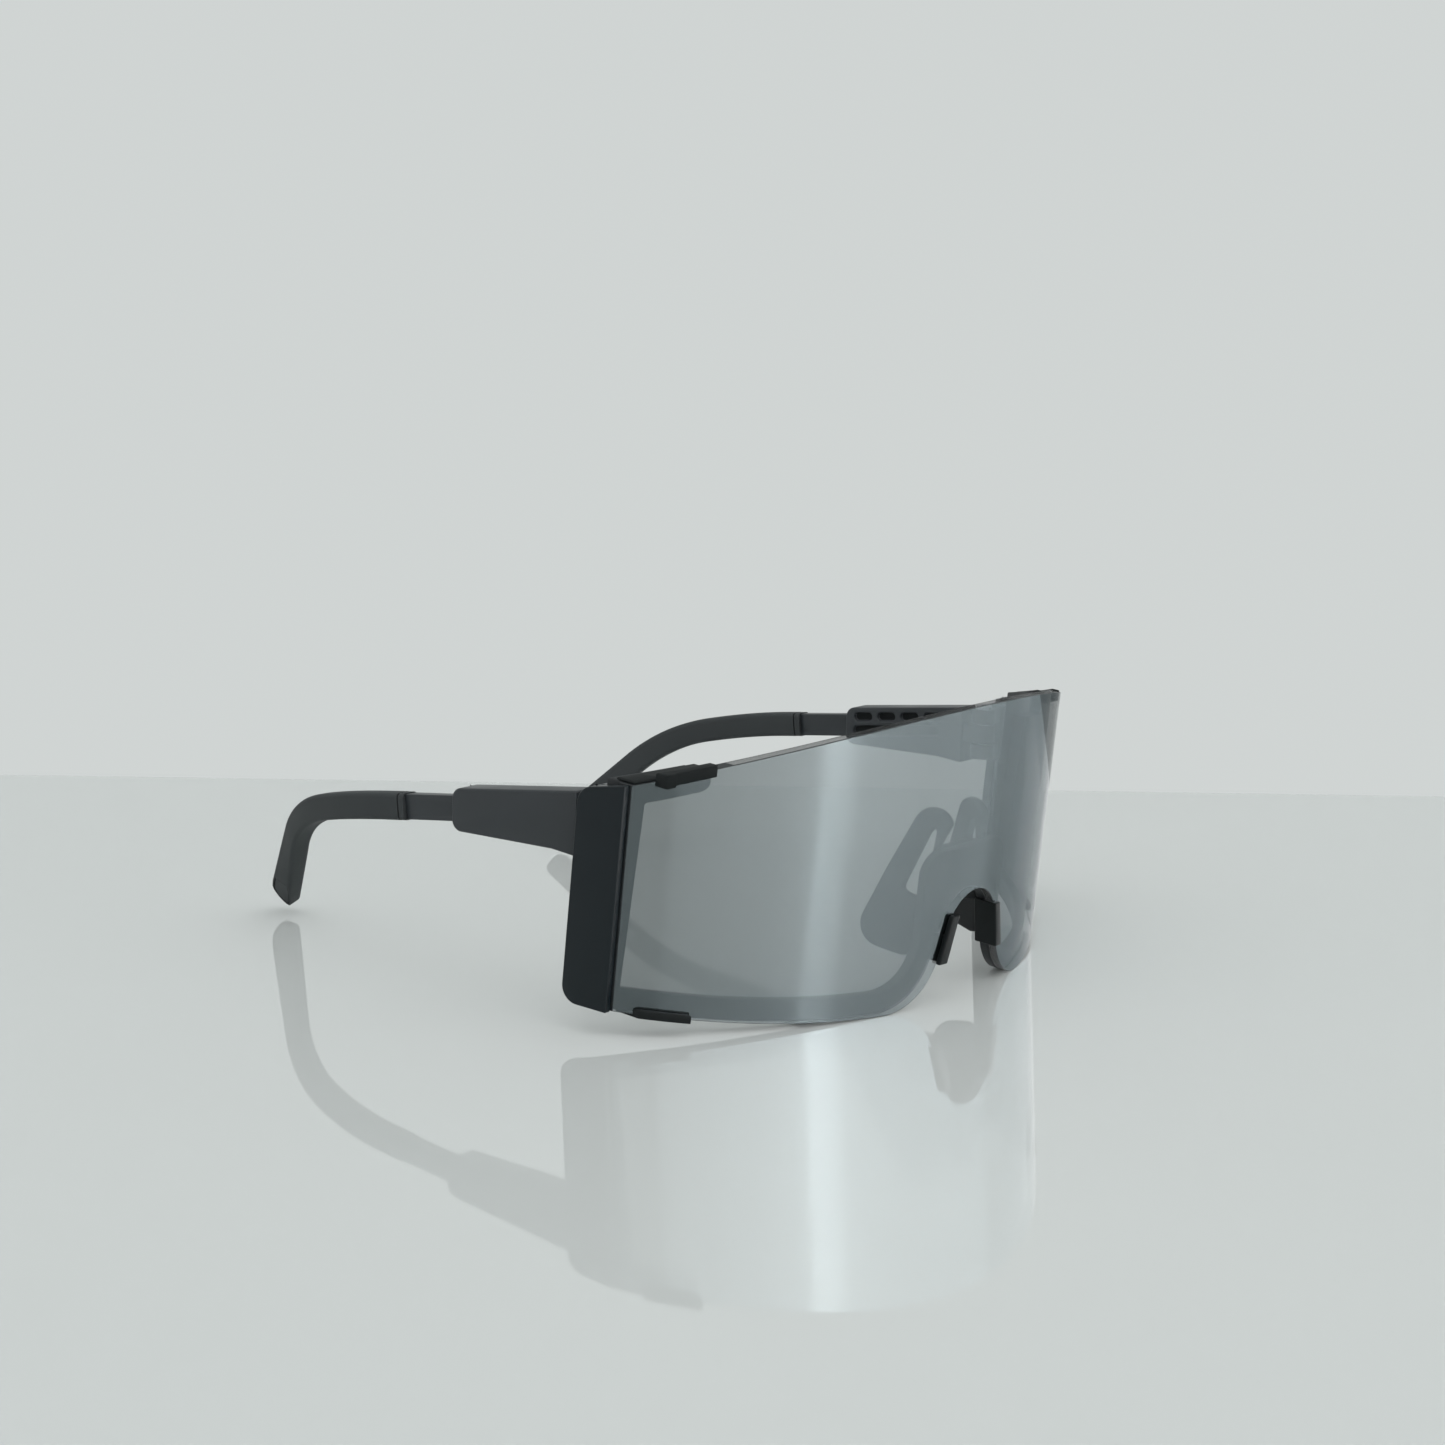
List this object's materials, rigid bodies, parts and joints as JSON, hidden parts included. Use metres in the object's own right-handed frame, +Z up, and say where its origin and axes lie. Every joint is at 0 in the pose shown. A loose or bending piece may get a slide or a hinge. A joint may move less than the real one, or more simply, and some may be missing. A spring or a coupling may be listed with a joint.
{
  "type": "shield sunglasses",
  "caption": "Wrap-round shield sunglasses with one mirrored lens in a half frame, side panels, folding temples with sliding bars and soft hooked tips.",
  "frame": {"origin": "on the table, under the middle of the whole width and depth, resting with the temples open", "axes": "+X towards the wearer's left, -Y out through the lens, +Y along the temples towards the ears, +Z up"},
  "size_m": [0.142, 0.1497, 0.0583],
  "materials": {
    "mirror_lens": "silver mirror coat on a grey polycarbonate shield",
    "dark_plastic": "near-black, fine matte grain",
    "charcoal_plastic": "charcoal, satin",
    "soft_rubber": "soft, matte",
    "hinge_metal": "dark satin",
    "steel": "bright drawn wire"
  },
  "bodies": {
    "frame": {"lens": "mirror_lens", "front_frame": "dark_plastic", "right_side_panel": "dark_plastic", "left_side_panel": "dark_plastic", "right_hinge_bracket": "hinge_metal", "left_hinge_bracket": "hinge_metal", "right_hinge_pin": "steel", "left_hinge_pin": "steel", "right_brow_clip": "dark_plastic", "left_brow_clip": "dark_plastic", "right_lower_clip": "dark_plastic", "left_lower_clip": "dark_plastic", "right_nose_clip": "dark_plastic", "left_nose_clip": "dark_plastic", "nose_saddle": "soft_rubber", "right_nose_wing": "soft_rubber", "left_nose_wing": "soft_rubber"},
    "right_arm": {"right_arm_housing": "charcoal_plastic", "right_stop_pin": "steel"},
    "right_tip": {"right_sliding_bar": "charcoal_plastic", "right_tip_collar": "dark_plastic", "right_tip_wire": "steel", "right_tip_sleeve": "soft_rubber"},
    "left_arm": {"left_arm_housing": "charcoal_plastic", "left_stop_pin": "steel"},
    "left_tip": {"left_sliding_bar": "charcoal_plastic", "left_tip_collar": "dark_plastic", "left_tip_wire": "steel", "left_tip_sleeve": "soft_rubber"}
  },
  "joints": [
    {"name": "right_temple_fold", "type": "hinge", "parent": "frame", "child": "right_arm", "pos_m": [-0.0646, -0.03168, 0.03834], "axis": [0, 0, -1], "range_deg": [0, 84]},
    {"name": "right_length_slide", "type": "slide", "parent": "right_arm", "child": "right_tip", "axis": [0, 0.9926, -0.1212], "range_m": [-0.006, 0.006]},
    {"name": "left_temple_fold", "type": "hinge", "parent": "frame", "child": "left_arm", "pos_m": [0.0646, -0.03168, 0.03834], "axis": [0, 0, 1], "range_deg": [0, 76]},
    {"name": "left_length_slide", "type": "slide", "parent": "left_arm", "child": "left_tip", "axis": [0, 0.9926, -0.1212], "range_m": [-0.006, 0.006]}
  ]
}
